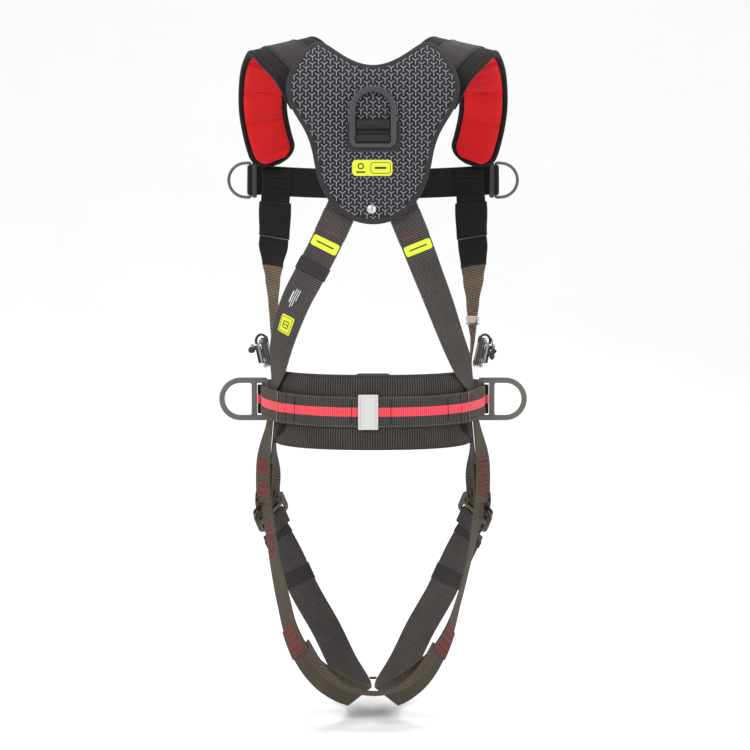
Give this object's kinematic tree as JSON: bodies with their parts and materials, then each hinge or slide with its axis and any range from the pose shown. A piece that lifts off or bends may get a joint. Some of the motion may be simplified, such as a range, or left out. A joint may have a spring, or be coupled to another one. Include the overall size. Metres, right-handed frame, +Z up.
{
  "type": "safety harness",
  "caption": "Full-body safety harness with padded back panel, red-lined shoulder pads, waist belt, side and chest rings and leg loops.",
  "frame": {"origin": "inner face of the back pad at the pivot area of the dorsal ring, on the middle plane", "axes": "+X to the wearer's right as seen from behind, +Y the way the wearer faces, +Z up"},
  "size_m": [0.4594, 0.3045, 0.9942],
  "materials": {
    "pad_fabric": "coated woven print",
    "pad_foam": "closed-cell foam",
    "pad_mesh": "spacer mesh",
    "binding": "folded tape",
    "dark_steel": "matte dark grey coat",
    "bronze_steel": "satin bronze-grey coat",
    "black_plastic": "satin moulded",
    "black_webbing": "fine woven tape",
    "charcoal_webbing": "ribbed polyester webbing",
    "olive_webbing": "ribbed polyester webbing",
    "yellow_label": "printed tape",
    "black_label": "glossy film",
    "bright_metal": "bright satin",
    "silver_tape": "reflective tape",
    "shoulder_fabric": "knitted cover",
    "red_lining": "quilted mesh",
    "ribbed_belt": "vertical ribs",
    "red_tape": "woven tape",
    "red_plastic": "moulded"
  },
  "bodies": {
    "root": {"back_pad_cover": "pad_fabric", "back_pad_foam": "pad_foam", "back_pad_lining": "pad_mesh", "back_pad_binding": "binding", "dorsal_backing_plate": "black_plastic", "dorsal_loops": "black_webbing", "back_label": "yellow_label", "pad_stud": "bright_metal", "shoulder_pad_left": "shoulder_fabric", "shoulder_pad_right": "shoulder_fabric", "shoulder_lining_left": "red_lining", "shoulder_lining_right": "red_lining", "shoulder_webbing_left": "charcoal_webbing", "shoulder_webbing_right": "charcoal_webbing", "front_strap_left": "charcoal_webbing", "front_strap_right": "charcoal_webbing", "front_sleeve_left": "black_webbing", "front_sleeve_right": "black_webbing", "chest_strap_left": "black_webbing", "chest_strap_right": "black_webbing", "chest_buckle_housing": "black_plastic", "chest_buckle_tongue": "dark_steel", "adjuster_frame_left": "black_plastic", "adjuster_frame_right": "black_plastic", "dorsal_strap_left": "charcoal_webbing", "dorsal_strap_right": "charcoal_webbing", "load_indicators": "yellow_label", "id_label": "black_label", "pictogram_label": "yellow_label", "belt_pad": "ribbed_belt", "belt_webbing": "charcoal_webbing", "belt_stripe": "red_tape", "belt_label_loop": "silver_tape", "belt_buckle_frame": "dark_steel", "hip_strap_left": "olive_webbing", "hip_strap_right": "olive_webbing", "leg_buckle_frame_left": "bronze_steel", "leg_buckle_frame_right": "bronze_steel", "thigh_strap_left": "charcoal_webbing", "thigh_strap_right": "charcoal_webbing", "seat_strap_left": "olive_webbing", "seat_strap_right": "olive_webbing", "link_strap": "olive_webbing", "leg_keepers": "black_webbing", "leg_tie": "olive_webbing"},
    "dorsal_d_ring_body": {"dorsal_d_ring": "dark_steel"},
    "chest_button_top_body": {"chest_button_top": "red_plastic"},
    "chest_button_bottom_body": {"chest_button_bottom": "red_plastic"},
    "chest_d_ring_left_body": {"chest_d_ring_left": "bronze_steel"},
    "chest_d_ring_right_body": {"chest_d_ring_right": "bronze_steel"},
    "adjuster_spool_left_body": {"adjuster_spool_left": "dark_steel"},
    "adjuster_spool_right_body": {"adjuster_spool_right": "dark_steel"},
    "adjuster_lever_left_body": {"adjuster_lever_left": "black_plastic"},
    "adjuster_lever_right_body": {"adjuster_lever_right": "black_plastic"},
    "strap_slider_body": {"strap_slider": "bright_metal"},
    "belt_buckle_prong_body": {"belt_buckle_prong": "bright_metal"},
    "side_d_ring_left_body": {"side_d_ring_left": "dark_steel"},
    "side_d_ring_right_body": {"side_d_ring_right": "dark_steel"},
    "leg_buckle_tongue_left_body": {"leg_buckle_tongue_left": "bronze_steel"},
    "leg_buckle_tongue_right_body": {"leg_buckle_tongue_right": "bronze_steel"}
  },
  "joints": [
    {"name": "dorsal_ring_hinge", "type": "hinge", "parent": "root", "child": "dorsal_d_ring_body", "pos_m": [0, -0.01625, -0.009], "axis": [1, 0, 0], "range_deg": [0, 150]},
    {"name": "chest_ring_hinge_right", "type": "hinge", "parent": "root", "child": "chest_d_ring_right_body", "pos_m": [0.188, 0.221, -0.056], "axis": [0, 0, 1], "range_deg": [-60, 75]},
    {"name": "side_ring_hinge_right", "type": "hinge", "parent": "root", "child": "side_d_ring_right_body", "pos_m": [0.1655, 0.105, -0.38307], "axis": [0, 0, 1], "range_deg": [-25, 25]},
    {"name": "adjuster_spool_turn_right", "type": "hinge", "parent": "root", "child": "adjuster_spool_right_body", "pos_m": [0.16537, 0.104, -0.30319], "axis": [0, 1, 0], "continuous": true},
    {"name": "adjuster_lever_hinge_right", "type": "hinge", "parent": "root", "child": "adjuster_lever_right_body", "pos_m": [0.16052, 0.104, -0.32363], "axis": [0, 1, 0], "range_deg": [0, 40], "stiffness_Nm_per_rad": 0.2},
    {"name": "leg_tongue_hinge_right", "type": "hinge", "parent": "root", "child": "leg_buckle_tongue_right_body", "pos_m": [0.16312, 0.12646, -0.53962], "axis": [0.6293, -0.5594, -0.5394], "range_deg": [0, 30]},
    {"name": "chest_ring_hinge_left", "type": "hinge", "parent": "root", "child": "chest_d_ring_left_body", "pos_m": [-0.188, 0.221, -0.056], "axis": [0, 0, -1], "range_deg": [-60, 75]},
    {"name": "side_ring_hinge_left", "type": "hinge", "parent": "root", "child": "side_d_ring_left_body", "pos_m": [-0.1655, 0.105, -0.38307], "axis": [0, 0, -1], "range_deg": [-25, 25]},
    {"name": "adjuster_spool_turn_left", "type": "hinge", "parent": "root", "child": "adjuster_spool_left_body", "pos_m": [-0.16537, 0.104, -0.30319], "axis": [0, -1, 0], "continuous": true},
    {"name": "adjuster_lever_hinge_left", "type": "hinge", "parent": "root", "child": "adjuster_lever_left_body", "pos_m": [-0.16052, 0.104, -0.32363], "axis": [0, -1, 0], "range_deg": [0, 40], "stiffness_Nm_per_rad": 0.2},
    {"name": "leg_tongue_hinge_left", "type": "hinge", "parent": "root", "child": "leg_buckle_tongue_left_body", "pos_m": [-0.16312, 0.12646, -0.53962], "axis": [0.6293, 0.5594, 0.5394], "range_deg": [0, 30]},
    {"name": "belt_prong_hinge", "type": "hinge", "parent": "root", "child": "belt_buckle_prong_body", "pos_m": [-0.012, 0.235, -0.38393], "axis": [0, 0, 1], "range_deg": [0, 100]},
    {"name": "chest_button_top_press", "type": "slide", "parent": "root", "child": "chest_button_top_body", "axis": [0, 0, -1], "range_m": [0, 0.0015], "stiffness_N_per_m": 250},
    {"name": "chest_button_bottom_press", "type": "slide", "parent": "root", "child": "chest_button_bottom_body", "axis": [0, 0, 1], "range_m": [0, 0.0015], "stiffness_N_per_m": 250},
    {"name": "strap_slider_slide", "type": "slide", "parent": "root", "child": "strap_slider_body", "axis": [-0.017, -0.4059, -0.9138], "range_m": [-0.003, 0.003]}
  ],
  "couplings": [
    {"joint": "chest_button_bottom_press", "follows": "chest_button_top_press", "ratio": 1}
  ]
}
